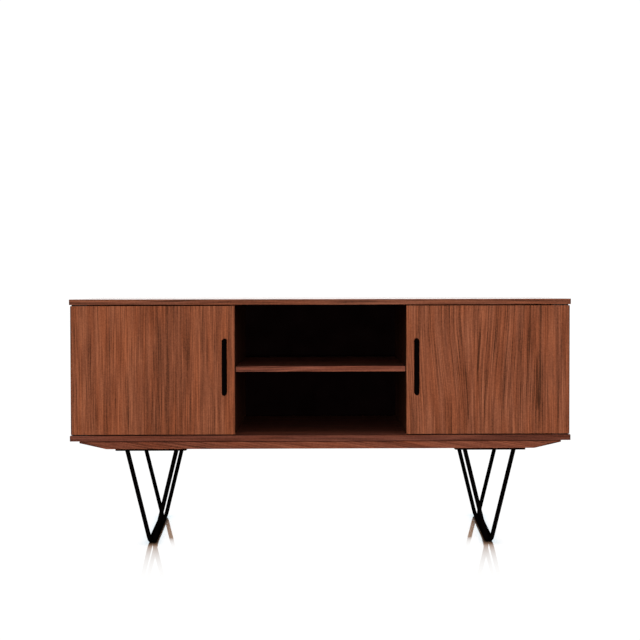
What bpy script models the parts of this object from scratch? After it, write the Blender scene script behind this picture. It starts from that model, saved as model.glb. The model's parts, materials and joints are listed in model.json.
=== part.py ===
"""TV stand: a long low cabinet with two swing doors, an open middle bay and black V-shaped wire legs.

Metres, +Z up. The origin is on the floor under the centre of the whole object, and the doors face -Y.
"""

import math

import bmesh
import bpy
from mathutils import Matrix, Vector

# Overall size, and the gap kept between pieces that touch
LENGTH = 1.360
BODY_DEPTH = 0.380
HEIGHT = 0.670
HANDLE_REACH = 0.028
CONTACT_GAP = 0.0003

# Boards of the cabinet
BOARD = 0.015
BACK_BOARD = 0.003
BOARD_EDGE = 0.0007
SIDE_INSET = 0.002
BAY_FLOOR_Z = 0.300
BAY_HALF_WIDTH = 0.233
SHELF_TOP_Z = 0.485
SHELF_SETBACK = 0.035

# Base frame under the bottom panel
BASE_BOARD = 0.022
BASE_TOP_HALF_LENGTH = 0.655
BASE_BOTTOM_HALF_LENGTH = 0.582
BASE_NOSE = 0.005
BASE_SETBACK = 0.004
BASE_RAIL_WIDTH = 0.070
CROSS_RAIL_WIDTH = 0.060

# Doors
DOOR_SIDE_INSET = 0.003
DOOR_GAP = 0.003
DOOR_BACK_GAP = 0.004

# Handles: a slim bar with round ends on two round posts
HANDLE_LENGTH = 0.153
HANDLE_WIDTH = 0.0125
HANDLE_THICKNESS = 0.008
HANDLE_EDGE_DISTANCE = 0.026
HANDLE_CENTRE_Z = 0.4875
HANDLE_POST_RADIUS = 0.0042
HANDLE_POST_SPACING = 0.128

# Pivot hinges: a leaf with a pin in the panel, and a leaf with a hole in the door's end
PIN_INSET = 0.0075
PIN_RADIUS = 0.0025
PIN_LENGTH = 0.012
PIN_CLEARANCE = 0.0001
LEAF_LENGTH = 0.046
LEAF_HALF_WIDTH = 0.0055
LEAF_THICKNESS = 0.0025

# Legs: pairs of bent round rods welded to flat plates
ROD_RADIUS = 0.006
BEND_RADIUS = 0.012
V_TOP_WIDTH = 0.135
FRONT_FOOT_X = 0.463
BACK_FOOT_X = 0.480
FRONT_V_SETBACK = 0.027
V_SPACING = 0.295
PLATE_LENGTH = 0.193
PLATE_DEPTH = 0.040
PLATE_THICKNESS = 0.005
PLATE_CORNER = 0.006
PLATE_SCREW_SPACING = 0.168

# Small hardware
SCREW_HEAD_RADIUS = 0.0042
SCREW_HEAD_HEIGHT = 0.0026
SCREW_SHANK_RADIUS = 0.0020
RECESS_LENGTH = 0.0044
RECESS_WIDTH = 0.0009
RECESS_DEPTH = 0.0014
PLATE_SCREW_LENGTH = 0.018
HANDLE_SCREW_LENGTH = 0.024
HANDLE_HOLE_DEPTH = 0.012
SHELF_PIN_RADIUS = 0.0025
SHELF_PIN_LENGTH = 0.016
SHELF_PIN_END_DISTANCE = 0.050
SHELF_HOLE_PITCH = 0.032
SHELF_HOLE_STEPS = (-2, -1, 0, 1, 2)
CATCH_SIZE = (0.013, 0.016, 0.046)
CATCH_Z = 0.620
STRIKE_THICKNESS = 0.0014

# Levels and faces that follow from the sizes above
HANDLE_FRONT_Y = -(BODY_DEPTH + HANDLE_REACH) / 2
FRONT_Y = HANDLE_FRONT_Y + HANDLE_REACH
BACK_Y = FRONT_Y + BODY_DEPTH
DOOR_BACK_Y = FRONT_Y + BOARD
CARCASS_FRONT_Y = DOOR_BACK_Y + DOOR_BACK_GAP
INNER_BACK_Y = BACK_Y - BACK_BOARD
TOP_UNDERSIDE_Z = HEIGHT - BOARD
BOTTOM_UNDERSIDE_Z = BAY_FLOOR_Z - BOARD
BASE_UNDERSIDE_Z = BOTTOM_UNDERSIDE_Z - BASE_BOARD
PLATE_UNDERSIDE_Z = BASE_UNDERSIDE_Z - PLATE_THICKNESS
SIDE_OUTER_X = LENGTH / 2 - SIDE_INSET
SIDE_INNER_X = SIDE_OUTER_X - BOARD
DIVIDER_OUTER_X = BAY_HALF_WIDTH + BOARD
DOOR_OUTER_X = LENGTH / 2 - DOOR_SIDE_INSET
DOOR_BOTTOM_Z = BAY_FLOOR_Z + DOOR_GAP
DOOR_TOP_Z = TOP_UNDERSIDE_Z - DOOR_GAP
PIN_X = DOOR_OUTER_X - PIN_INSET
PIN_Y = FRONT_Y + PIN_INSET
FRONT_V_Y = FRONT_Y + FRONT_V_SETBACK
BACK_V_Y = FRONT_V_Y + V_SPACING
HANDLE_X = BAY_HALF_WIDTH + HANDLE_EDGE_DISTANCE
HANDLE_POST_Z = tuple(HANDLE_CENTRE_Z + step * HANDLE_POST_SPACING / 2 for step in (-1, 1))

SIDES = {"left": -1, "right": 1}
DOWN = Vector((0, 0, -1))
UP = Vector((0, 0, 1))


def clear_scene():
    for old in list(bpy.data.objects):
        bpy.data.objects.remove(old, do_unlink=True)


def make_material(name, colour, roughness, metallic=0.0):
    material = bpy.data.materials.new(name)
    material.use_nodes = True
    shader = material.node_tree.nodes["Principled BSDF"]
    shader.inputs["Base Color"].default_value = (*colour, 1)
    shader.inputs["Roughness"].default_value = roughness
    shader.inputs["Metallic"].default_value = metallic
    return material


def make_object(name, mesh_builder, material, location=(0, 0, 0), smooth=False):
    """Turns a bmesh into a named object with one material."""
    bmesh.ops.recalc_face_normals(mesh_builder, faces=mesh_builder.faces)
    mesh = bpy.data.meshes.new(name)
    mesh_builder.to_mesh(mesh)
    mesh_builder.free()
    if smooth:
        mesh.shade_smooth()
        mesh.set_sharp_from_angle(angle=math.radians(35))
    thing = bpy.data.objects.new(name, mesh)
    thing.location = location
    if material:
        mesh.materials.append(material)
    bpy.context.scene.collection.objects.link(thing)
    return thing


def hide_helper(helper):
    helper.hide_render = True
    helper.display_type = "WIRE"


def add_boolean(target, helper, operation):
    hide_helper(helper)
    modifier = target.modifiers.new(helper.name, "BOOLEAN")
    modifier.object = helper
    modifier.operation = operation
    modifier.solver = "EXACT"


def add_box(builder, low, high):
    """Adds a box between two corners and returns its vertices."""
    low, high = Vector(low), Vector(high)
    centre = Matrix.Translation((low + high) / 2)
    size = Matrix.Diagonal((*(high - low), 1))
    return bmesh.ops.create_cube(builder, size=1, matrix=centre @ size)["verts"]


def add_cylinder(builder, start, direction, radius, length, segments=16):
    """Adds a closed cylinder that runs from start along direction."""
    direction = Vector(direction).normalized()
    turn = direction.to_track_quat("Z", "Y").to_matrix().to_4x4()
    place = Matrix.Translation(Vector(start) + direction * (length / 2))
    bmesh.ops.create_cone(
        builder,
        cap_ends=True,
        segments=segments,
        radius1=radius,
        radius2=radius,
        depth=length,
        matrix=place @ turn,
    )


def add_prism(builder, outline, low, high, turn=Matrix.Identity(4)):
    """Extrudes a closed outline of (x, y) points from z=low to z=high, then turns it."""
    rings = [
        [builder.verts.new(turn @ Vector((x, y, z))) for x, y in outline] for z in (low, high)
    ]
    count = len(outline)
    builder.faces.new(reversed(rings[0]))
    builder.faces.new(rings[1])
    for i in range(count):
        j = (i + 1) % count
        builder.faces.new((rings[0][i], rings[0][j], rings[1][j], rings[1][i]))


def rounded_outline(x_low, x_high, y_low, y_high, radius, arc_steps=6):
    """A rectangle whose corners are arcs, as (x, y) points in order."""
    corners = (
        (x_high - radius, y_high - radius, 0),
        (x_low + radius, y_high - radius, 90),
        (x_low + radius, y_low + radius, 180),
        (x_high - radius, y_low + radius, 270),
    )
    points = []
    for centre_x, centre_y, start in corners:
        for step in range(arc_steps + 1):
            angle = math.radians(start + 90 * step / arc_steps)
            points.append((centre_x + radius * math.cos(angle), centre_y + radius * math.sin(angle)))
    unique = []
    for point in points:
        if not unique or math.dist(point, unique[-1]) > 1e-7:
            unique.append(point)
    if math.dist(unique[0], unique[-1]) < 1e-7:
        unique.pop()
    return unique


def bevel_all(builder, width, segments=2):
    bmesh.ops.bevel(
        builder,
        geom=builder.edges[:],
        offset=width,
        segments=segments,
        profile=0.5,
        affect="EDGES",
        clamp_overlap=True,
    )


def board(name, x_range, y_range, z_range, material, edge=BOARD_EDGE):
    """A flat board with softened edges, its origin at its middle."""
    low = Vector((x_range[0], y_range[0], z_range[0]))
    high = Vector((x_range[1], y_range[1], z_range[1]))
    centre = (low + high) / 2
    builder = bmesh.new()
    add_box(builder, low - centre, high - centre)
    bevel_all(builder, edge)
    return make_object(name, builder, material, centre)


def drill(target, holes):
    """Cuts round holes: each is (start, direction, radius, depth), and starts a little outside."""
    builder = bmesh.new()
    for start, direction, radius, depth in holes:
        lead = Vector(direction).normalized() * 0.001
        add_cylinder(builder, Vector(start) - lead, direction, radius, depth + 0.001)
    helper = make_object(target.name + "_holes", builder, None)
    add_boolean(target, helper, "DIFFERENCE")


def turned(name, profile, material, start, direction, segments=16):
    """A solid of revolution from (radius, distance along direction) pairs, first and last on the axis."""
    direction = Vector(direction).normalized()
    turn = direction.to_track_quat("Z", "Y").to_matrix().to_4x4()
    builder = bmesh.new()
    rings = []
    for radius, along in profile:
        ring = []
        for i in range(segments if radius else 1):
            angle = 2 * math.pi * i / segments
            point = Vector((radius * math.cos(angle), radius * math.sin(angle), along))
            ring.append(builder.verts.new(turn @ point))
        rings.append(ring)
    for first, second in zip(rings, rings[1:]):
        for i in range(segments):
            j = (i + 1) % segments
            corners = [first[i % len(first)], first[j % len(first)]]
            corners += [second[j % len(second)], second[i % len(second)]]
            builder.faces.new(list(dict.fromkeys(corners)))
    return make_object(name, builder, material, start, smooth=True)


def screw_profile(length):
    """A screw with a domed head, from the top of its head to its tip. Distance 0 is under the head."""
    head, shank = SCREW_HEAD_RADIUS, SCREW_SHANK_RADIUS
    height = SCREW_HEAD_HEIGHT
    return (
        (0, -height),
        (head * 0.6, -height * 0.92),
        (head * 0.92, -height * 0.5),
        (head, 0),
        (shank, 0),
        (shank, length - shank),
        (0, length),
    )


def screw(name, length, material, seat, direction):
    """A screw with a cross recess. The seat is the point under its head, and it runs along direction."""
    made = turned(name, screw_profile(length), material, seat, direction)
    turn = direction.to_track_quat("Z", "Y").to_matrix().to_4x4()
    half, thin = RECESS_LENGTH / 2, RECESS_WIDTH / 2
    top, floor = -SCREW_HEAD_HEIGHT - 0.001, RECESS_DEPTH - SCREW_HEAD_HEIGHT
    outline = (
        (half, -thin), (half, thin), (thin, thin), (thin, half), (-thin, half), (-thin, thin),
        (-half, thin), (-half, -thin), (-thin, -thin), (-thin, -half), (thin, -half), (thin, -thin),
    )
    builder = bmesh.new()
    add_prism(builder, outline, top, floor, Matrix.Translation(seat) @ turn)
    add_boolean(made, make_object(name + "_recess", builder, None), "DIFFERENCE")
    return made


def mirrored_range(sign, inner, outer):
    """The x range of a piece that lies between two distances from the middle, on the given side."""
    return (inner, outer) if sign > 0 else (-outer, -inner)


def between(low, high):
    """A range that keeps the contact gap at both ends."""
    return (low + CONTACT_GAP, high - CONTACT_GAP)


# ---------------------------------------------------------------- cabinet


def make_cabinet(wood, backing):
    half = LENGTH / 2
    depth = (FRONT_Y, BACK_Y)
    inner_height = between(BAY_FLOOR_Z, TOP_UNDERSIDE_Z)
    inner_depth = (CARCASS_FRONT_Y, INNER_BACK_Y - CONTACT_GAP)
    shelf_height = (SHELF_TOP_Z - BOARD, SHELF_TOP_Z)
    shelf_depth = (FRONT_Y + SHELF_SETBACK, INNER_BACK_Y - CONTACT_GAP)
    made = {
        "top_panel": board("top_panel", (-half, half), depth, (TOP_UNDERSIDE_Z, HEIGHT), wood),
        "bottom_panel": board(
            "bottom_panel", (-half, half), depth, (BOTTOM_UNDERSIDE_Z, BAY_FLOOR_Z), wood
        ),
        "center_shelf": board(
            "center_shelf", between(-BAY_HALF_WIDTH, BAY_HALF_WIDTH), shelf_depth, shelf_height, wood
        ),
        "back_panel": board(
            "back_panel",
            (-SIDE_OUTER_X, SIDE_OUTER_X),
            (INNER_BACK_Y, BACK_Y),
            inner_height,
            backing,
            edge=0.0003,
        ),
    }
    for side, sign in SIDES.items():
        side_x = mirrored_range(sign, SIDE_INNER_X, SIDE_OUTER_X)
        divider_x = mirrored_range(sign, BAY_HALF_WIDTH, DIVIDER_OUTER_X)
        shelf_x = mirrored_range(sign, *between(DIVIDER_OUTER_X, SIDE_INNER_X))
        for name, x_range, y_range, z_range in (
            ("side_panel_" + side, side_x, inner_depth, inner_height),
            ("divider_" + side, divider_x, inner_depth, inner_height),
            ("side_shelf_" + side, shelf_x, shelf_depth, shelf_height),
        ):
            made[name] = board(name, x_range, y_range, z_range, wood)
    return made


def make_shelf_pins(boards, steel):
    """Four pins hold up each shelf behind a door, half of each in a hole. Rows of holes let it move."""
    pin_z = SHELF_TOP_Z - BOARD - CONTACT_GAP - SHELF_PIN_RADIUS
    front_y = FRONT_Y + SHELF_SETBACK + SHELF_PIN_END_DISTANCE
    back_y = INNER_BACK_Y - SHELF_PIN_END_DISTANCE
    tip = SHELF_PIN_RADIUS * 0.75
    chamfer = SHELF_PIN_RADIUS - tip
    profile = (
        (0, 0),
        (tip, 0),
        (SHELF_PIN_RADIUS, chamfer),
        (SHELF_PIN_RADIUS, SHELF_PIN_LENGTH - chamfer),
        (tip, SHELF_PIN_LENGTH),
        (0, SHELF_PIN_LENGTH),
    )
    hole_radius = SHELF_PIN_RADIUS + CONTACT_GAP
    hole_depth = SHELF_PIN_LENGTH / 2 + CONTACT_GAP
    for side, sign in SIDES.items():
        for board_name, wall_x, into in (
            ("side_panel_" + side, SIDE_INNER_X, sign),
            ("divider_" + side, DIVIDER_OUTER_X, -sign),
        ):
            holes = []
            for place, pin_y in (("front", front_y), ("back", back_y)):
                wall = Vector((sign * wall_x, pin_y, pin_z))
                inward = Vector((into, 0, 0))
                kind = "outer" if into == sign else "inner"
                start = wall - inward * (SHELF_PIN_LENGTH / 2)
                turned(f"shelf_pin_{side}_{kind}_{place}", profile, steel, start, inward, 12)
                for step in SHELF_HOLE_STEPS:
                    mouth = wall + UP * (step * SHELF_HOLE_PITCH)
                    holes.append((mouth, inward, hole_radius, hole_depth))
            drill(boards[board_name], holes)


# ---------------------------------------------------------------- base frame


def make_base(wood):
    """Two long rails, front and back, tied by two cross rails. Their ends have a short nose over a slant."""
    z_low, z_high = BASE_UNDERSIDE_Z, BOTTOM_UNDERSIDE_Z - CONTACT_GAP
    outline = (
        (-BASE_BOTTOM_HALF_LENGTH, z_low),
        (BASE_BOTTOM_HALF_LENGTH, z_low),
        (BASE_TOP_HALF_LENGTH, z_high - BASE_NOSE),
        (BASE_TOP_HALF_LENGTH, z_high),
        (-BASE_TOP_HALF_LENGTH, z_high),
        (-BASE_TOP_HALF_LENGTH, z_high - BASE_NOSE),
    )
    upright = Matrix.Rotation(math.radians(90), 4, "X")
    front = FRONT_Y + BASE_SETBACK
    back = BACK_Y - BASE_SETBACK - BASE_RAIL_WIDTH
    made = {}
    for place, y_low in (("front", front), ("back", back)):
        builder = bmesh.new()
        add_prism(builder, outline, -(y_low + BASE_RAIL_WIDTH), -y_low, upright)
        bevel_all(builder, BOARD_EDGE)
        name = "base_rail_" + place
        made[place] = make_object(name, builder, wood)
    cross_y = between(front + BASE_RAIL_WIDTH, back)
    for side, sign in SIDES.items():
        outer_x = BASE_BOTTOM_HALF_LENGTH
        x_range = mirrored_range(sign, outer_x - CROSS_RAIL_WIDTH, outer_x)
        board("base_cross_rail_" + side, x_range, cross_y, (z_low, z_high), wood)
    return made


# ---------------------------------------------------------------- legs


def rod(name, path, material, end_normals, sides=20):
    """A round bar along a path of points. Each end is cut square to its end normal."""
    builder = bmesh.new()
    rings = []
    last = len(path) - 1
    across = Vector((0, 1, 0))
    for i, point in enumerate(path):
        tangent = (path[min(i + 1, last)] - path[max(i - 1, 0)]).normalized()
        across = (across - tangent * across.dot(tangent)).normalized()
        other = tangent.cross(across).normalized()
        ring = []
        for k in range(sides):
            angle = 2 * math.pi * k / sides
            offset = (across * math.cos(angle) + other * math.sin(angle)) * ROD_RADIUS
            if i in (0, last):
                normal = end_normals[0 if i == 0 else 1]
                offset -= tangent * (offset.dot(normal) / tangent.dot(normal))
            ring.append(builder.verts.new(point + offset))
        rings.append(ring)
    for first, second in zip(rings, rings[1:]):
        for k in range(sides):
            j = (k + 1) % sides
            builder.faces.new((first[k], first[j], second[j], second[k]))
    builder.faces.new(reversed(rings[0]))
    builder.faces.new(rings[-1])
    return make_object(name, builder, material, smooth=True)


def rounded_path(corners, radius, steps=8):
    """The centre line through corner points, with every corner between the ends turned on a radius."""
    points = [corners[0]]
    for before, corner, after in zip(corners, corners[1:], corners[2:]):
        back = (before - corner).normalized()
        ahead = (after - corner).normalized()
        half_angle = back.angle(ahead) / 2
        centre = corner + (back + ahead).normalized() * (radius / math.sin(half_angle))
        start = back * (radius / math.tan(half_angle)) + corner - centre
        end = ahead * (radius / math.tan(half_angle)) + corner - centre
        turn = start.angle(end)
        for step in range(steps + 1):
            share = step / steps
            mixed = start * math.sin((1 - share) * turn) + end * math.sin(share * turn)
            points.append(centre + mixed / math.sin(turn))
    points.append(corners[-1])
    return points


def make_legs(rails, black_steel, zinc):
    """Each side stands on two rods. A rod runs down, back along the floor and up again, beside its pair."""
    plate_z = (PLATE_UNDERSIDE_Z, BASE_UNDERSIDE_Z - CONTACT_GAP)
    rail_hole_depth = PLATE_SCREW_LENGTH - PLATE_THICKNESS + 0.001
    hole_radius = SCREW_SHANK_RADIUS + CONTACT_GAP
    for place, foot, y in (("front", FRONT_FOOT_X, FRONT_V_Y), ("back", BACK_FOOT_X, BACK_V_Y)):
        rail_holes = []
        for side, sign in SIDES.items():
            x = sign * foot
            builder = bmesh.new()
            half_length, half_depth = PLATE_LENGTH / 2, PLATE_DEPTH / 2
            outline = rounded_outline(
                x - half_length, x + half_length, y - half_depth, y + half_depth, PLATE_CORNER
            )
            add_prism(builder, outline, *plate_z)
            plate = make_object(f"leg_plate_{side}_{place}", builder, black_steel)
            plate_holes = []
            for end, step in (("a", -1), ("b", 1)):
                seat = Vector((x + step * PLATE_SCREW_SPACING / 2, y, plate_z[0]))
                name = f"leg_screw_{side}_{place}_{end}"
                screw(name, PLATE_SCREW_LENGTH, zinc, seat - UP * CONTACT_GAP, UP)
                plate_holes.append((seat, UP, hole_radius, PLATE_THICKNESS + 0.001))
                mouth = Vector((seat.x, seat.y, BASE_UNDERSIDE_Z))
                rail_holes.append((mouth, UP, hole_radius, rail_hole_depth))
            drill(plate, plate_holes)
        drill(rails[place], rail_holes)
    half_top = V_TOP_WIDTH / 2
    half_foot = ROD_RADIUS + CONTACT_GAP / 2
    top_z = PLATE_UNDERSIDE_Z - CONTACT_GAP
    for side, sign in SIDES.items():
        front_x, back_x = sign * FRONT_FOOT_X, sign * BACK_FOOT_X
        for kind, step in (("outer", sign), ("inner", -sign)):
            corners = (
                Vector((front_x + step * half_top, FRONT_V_Y, top_z)),
                Vector((front_x + step * half_foot, FRONT_V_Y, ROD_RADIUS)),
                Vector((back_x + step * half_foot, BACK_V_Y, ROD_RADIUS)),
                Vector((back_x + step * half_top, BACK_V_Y, top_z)),
            )
            rod(f"leg_rod_{side}_{kind}", rounded_path(corners, BEND_RADIUS), black_steel, (UP, UP))


# ---------------------------------------------------------------- doors, handles, hinges, catches


def make_handle(side, sign, axis, black_steel):
    """A bar with round ends that stands off the door on two posts, each with a screw hole."""
    x = sign * HANDLE_X
    half_width, half_length = HANDLE_WIDTH / 2, HANDLE_LENGTH / 2
    bar_back_y = HANDLE_FRONT_Y + HANDLE_THICKNESS
    builder = bmesh.new()
    outline = rounded_outline(
        x - half_width,
        x + half_width,
        HANDLE_CENTRE_Z - half_length,
        HANDLE_CENTRE_Z + half_length,
        half_width,
    )
    upright = Matrix.Rotation(math.radians(90), 4, "X")
    add_prism(builder, outline, -bar_back_y, -HANDLE_FRONT_Y, upright)
    rim = [edge for edge in builder.edges if abs(edge.verts[0].co.y - edge.verts[1].co.y) < 1e-6]
    bmesh.ops.bevel(builder, geom=rim, offset=0.0012, segments=2, profile=0.5, affect="EDGES")
    handle = make_object("handle_" + side, builder, black_steel)
    builder = bmesh.new()
    holes = []
    toward_back = Vector((0, 1, 0))
    start_y = bar_back_y - HANDLE_THICKNESS / 2
    for z in HANDLE_POST_Z:
        length = FRONT_Y - CONTACT_GAP - start_y
        add_cylinder(builder, Vector((x, start_y, z)), toward_back, HANDLE_POST_RADIUS, length, 24)
        mouth = Vector((x, FRONT_Y, z))
        holes.append((mouth, -toward_back, SCREW_SHANK_RADIUS + CONTACT_GAP, HANDLE_HOLE_DEPTH))
    posts = make_object(f"handle_{side}_posts", builder, None)
    add_boolean(handle, posts, "UNION")
    drill(handle, holes)
    attach(handle, axis)


def make_handle_screws(side, sign, axis, zinc):
    forward = Vector((0, -1, 0))
    for place, z in zip(("bottom", "top"), HANDLE_POST_Z):
        seat = Vector((sign * HANDLE_X, DOOR_BACK_Y + CONTACT_GAP, z))
        attach(screw(f"handle_screw_{side}_{place}", HANDLE_SCREW_LENGTH, zinc, seat, forward), axis)


def attach(thing, axis):
    """Hangs a piece on its joint's empty without moving it."""
    thing.parent = axis
    thing.matrix_parent_inverse = Matrix.Translation(-axis.location)


def add_leaf(builder, sign, z_low, z_high, margin=0.0):
    """A hinge leaf: round ends, from the pin towards the door's free edge."""
    outer_x = PIN_X + LEAF_HALF_WIDTH
    x_low, x_high = mirrored_range(sign, outer_x - LEAF_LENGTH - margin, outer_x + margin)
    half = LEAF_HALF_WIDTH + margin
    outline = rounded_outline(x_low, x_high, PIN_Y - half, PIN_Y + half, half)
    add_prism(builder, outline, z_low, z_high)


def make_hinges(side, sign, door, panels, axis, zinc):
    """One hinge at the door's top and one at its bottom. The leaves bear on each other."""
    for place, panel, panel_face, away in (
        ("top", panels["top_panel"], TOP_UNDERSIDE_Z, 1),
        ("bottom", panels["bottom_panel"], BAY_FLOOR_Z, -1),
    ):
        middle = panel_face - away * DOOR_GAP / 2
        inner, outer = CONTACT_GAP / 2, CONTACT_GAP / 2 + LEAF_THICKNESS
        fixed_leaf = sorted((middle + away * inner, middle + away * outer))
        door_leaf = sorted((middle - away * inner, middle - away * outer))
        toward_door = Vector((0, 0, -away))
        pin_start = Vector((sign * PIN_X, PIN_Y, middle + away * (inner + outer) / 2))

        builder = bmesh.new()
        add_leaf(builder, sign, *fixed_leaf)
        leaf = make_object(f"hinge_panel_leaf_{side}_{place}", builder, zinc)
        builder = bmesh.new()
        add_cylinder(builder, pin_start, toward_door, PIN_RADIUS, PIN_LENGTH)
        pin = make_object(f"hinge_pin_{side}_{place}", builder, None)
        add_boolean(leaf, pin, "UNION")

        builder = bmesh.new()
        add_leaf(builder, sign, *door_leaf)
        leaf = make_object(f"hinge_door_leaf_{side}_{place}", builder, zinc)
        bore = PIN_RADIUS + PIN_CLEARANCE
        drill(leaf, [(pin_start, toward_door, bore, PIN_LENGTH)])
        attach(leaf, axis)

        for target, pocket in (
            (panel, (panel_face - away * 0.001, middle + away * (outer + CONTACT_GAP))),
            (door, (panel_face - away * (DOOR_GAP - 0.001), middle - away * (outer + CONTACT_GAP))),
        ):
            builder = bmesh.new()
            add_leaf(builder, sign, *sorted(pocket), margin=CONTACT_GAP)
            helper = make_object(f"{target.name}_{side}_{place}_pocket", builder, None)
            add_boolean(target, helper, "DIFFERENCE")
        relief = [(pin_start, toward_door, PIN_RADIUS + 2 * CONTACT_GAP, PIN_LENGTH + 0.001)]
        drill(door, relief)


def make_catch(side, sign, axis, plastic, zinc):
    """A magnetic catch inside the divider's front edge, and the steel plate that it holds on the door."""
    width, depth, height = CATCH_SIZE
    catch_x = mirrored_range(sign, DIVIDER_OUTER_X + CONTACT_GAP, DIVIDER_OUTER_X + CONTACT_GAP + width)
    strike_y = (DOOR_BACK_Y + CONTACT_GAP, DOOR_BACK_Y + CONTACT_GAP + STRIKE_THICKNESS)
    catch_front_y = strike_y[1] + CONTACT_GAP
    z_range = (CATCH_Z - height / 2, CATCH_Z + height / 2)
    board("catch_" + side, catch_x, (catch_front_y, catch_front_y + depth), z_range, plastic, edge=0.001)
    margin = 0.001
    strike_x = (catch_x[0] + margin, catch_x[1] - margin)
    strike_z = (z_range[0] + margin, z_range[1] - margin)
    attach(board("strike_" + side, strike_x, strike_y, strike_z, zinc, edge=0.0002), axis)


def make_door(side, sign, panels, wood, black_steel, zinc, plastic):
    """A door on its own axis, with its handle, screws, hinge leaves and strike plate."""
    axis = bpy.data.objects.new(f"door_{side}_axis", None)
    axis.location = (sign * PIN_X, PIN_Y, (DOOR_BOTTOM_Z + DOOR_TOP_Z) / 2)
    bpy.context.scene.collection.objects.link(axis)
    x_range = mirrored_range(sign, BAY_HALF_WIDTH, DOOR_OUTER_X)
    door = board("door_" + side, x_range, (FRONT_Y, DOOR_BACK_Y), (DOOR_BOTTOM_Z, DOOR_TOP_Z), wood)
    attach(door, axis)
    backward = Vector((0, 1, 0))
    hole_radius = SCREW_SHANK_RADIUS + CONTACT_GAP
    mouths = [Vector((sign * HANDLE_X, FRONT_Y, z)) for z in HANDLE_POST_Z]
    drill(door, [(mouth, backward, hole_radius, BOARD + 0.001) for mouth in mouths])
    make_handle(side, sign, axis, black_steel)
    make_handle_screws(side, sign, axis, zinc)
    make_hinges(side, sign, door, panels, axis, zinc)
    make_catch(side, sign, axis, plastic, zinc)


def main():
    clear_scene()
    wood = make_material("walnut_veneer", (0.195, 0.060, 0.030), 0.45)
    backing = make_material("dark_backing", (0.030, 0.016, 0.010), 0.6)
    black_steel = make_material("black_coated_steel", (0.006, 0.006, 0.006), 0.4, 0.2)
    zinc = make_material("zinc_plated_steel", (0.55, 0.55, 0.56), 0.35, 1.0)
    plastic = make_material("brown_plastic", (0.050, 0.025, 0.015), 0.5)
    panels = make_cabinet(wood, backing)
    make_shelf_pins(panels, zinc)
    rails = make_base(wood)
    make_legs(rails, black_steel, zinc)
    for side, sign in SIDES.items():
        make_door(side, sign, panels, wood, black_steel, zinc, plastic)


main()
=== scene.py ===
"""The looks of the TV stand: veneer, coated steel, small hardware, studio floor, lights and camera."""

import json
import math
import random

import bmesh
import bpy
from mathutils import Matrix, Vector


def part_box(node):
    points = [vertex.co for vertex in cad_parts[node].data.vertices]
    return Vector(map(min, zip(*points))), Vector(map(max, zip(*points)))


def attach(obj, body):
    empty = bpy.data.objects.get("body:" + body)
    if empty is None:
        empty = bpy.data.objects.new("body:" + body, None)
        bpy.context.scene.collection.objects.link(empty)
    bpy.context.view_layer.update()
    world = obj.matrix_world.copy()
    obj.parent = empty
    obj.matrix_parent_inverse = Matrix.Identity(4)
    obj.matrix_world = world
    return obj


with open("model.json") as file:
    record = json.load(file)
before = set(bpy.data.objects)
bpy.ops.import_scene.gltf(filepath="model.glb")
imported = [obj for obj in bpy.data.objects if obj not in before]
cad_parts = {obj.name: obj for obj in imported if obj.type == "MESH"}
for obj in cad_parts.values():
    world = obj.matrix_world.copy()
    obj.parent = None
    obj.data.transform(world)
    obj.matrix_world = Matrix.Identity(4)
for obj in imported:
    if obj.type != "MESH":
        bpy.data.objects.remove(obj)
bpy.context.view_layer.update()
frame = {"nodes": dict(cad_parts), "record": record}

PANEL_FRONT_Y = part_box("top_panel")[0].y
# Which way each side lies along X
SIDES = {"left": -1, "right": 1}

# Colours are linear. Walnut runs from dark to light along a ramp.
WALNUT_STOPS = (
    (0.10, (0.055, 0.018, 0.008)),
    (0.50, (0.190, 0.057, 0.027)),
    (0.90, (0.335, 0.111, 0.052)),
)
# The floor's warm glow near the legs: painted reflection colour, left showing brown where a dark thing is
# mirrored.
FLOOR_PAINTED_GLOW = (0.30, 0.18, 0.115)
FLOOR_GLOSS = (0.70, 0.81, 0.87)
# The studio's white, and the faint light that its walls throw on the object
WHITE_STRENGTH, DIM_STRENGTH = 1.05, 0.006

# Bands of grain from broad to fine: scales across and along, detail, weight, shift of the seed
GRAIN_BANDS = (
    ((14.0, 0.4), 2.0, 0.42, 7.7),
    ((60.0, 1.1), 3.0, 0.42, 11.3),
    ((170.0, 2.2), 3.0, 0.80, 19.9),
    ((430.0, 6.6), 3.0, 1.68, 23.3),
)
# The grain shifts sideways by this share of the depth, so an edge doesn't show the lines of its face.
DEPTH_SHIFT = 0.6
# A streak has faded out at this many half widths from its line.
STREAK_SPREAD = 2.2

# The base rails: half the length of the lower edge, and the height of the nose over each slanted end
BASE_BOTTOM_HALF_LENGTH, BASE_NOSE = 0.582, 0.005
# How wide and how dark the painted shade is at a door's outer edge and at a panel's ends
DOOR_EDGE_WIDTH, DOOR_EDGE_PAINTED_SHADE = 0.0055, 0.55
PANEL_END_WIDTH, PANEL_END_PAINTED_SHADE = 0.0045, 0.6

# Nails that hold the back panel: their spacing, their distance from its edge, and a head's radius
NAIL_PITCH, NAIL_INSET, NAIL_RADIUS = 0.090, 0.006, 0.0017

# Filler beads in the back corners: radius, how far the centre sinks in, and steps of the quarter round
BEAD_RADIUS, BEAD_SINK, BEAD_STEPS = 0.0026, 0.0003, 5

# Legs: half the spread of a V of rods, a rod's radius, and the groove's height over the rods' middles
V_HALF_WIDTH, ROD_RADIUS, GROOVE_RISE = 0.0675, 0.006, 0.0042
# Weld rings round the rods' tops: reach along X and Y, bead radius, drop under the plate, steps
RING_REACH, RING_RADIUS, RING_DROP, RING_STEPS = (0.0066, 0.0062), 0.0011, 0.0007, 48
# Weld seams: where they lie as shares of the groove's length, half length, bead radius, steps
SEAM_SHARES, SEAM_HALF_LENGTH, SEAM_RADIUS, SEAM_STEPS = (0.10, 0.50, 0.90), 0.012, 0.0022, 24
# Corners of a weld bead's cross-section
WELD_SIDES = 8

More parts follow.
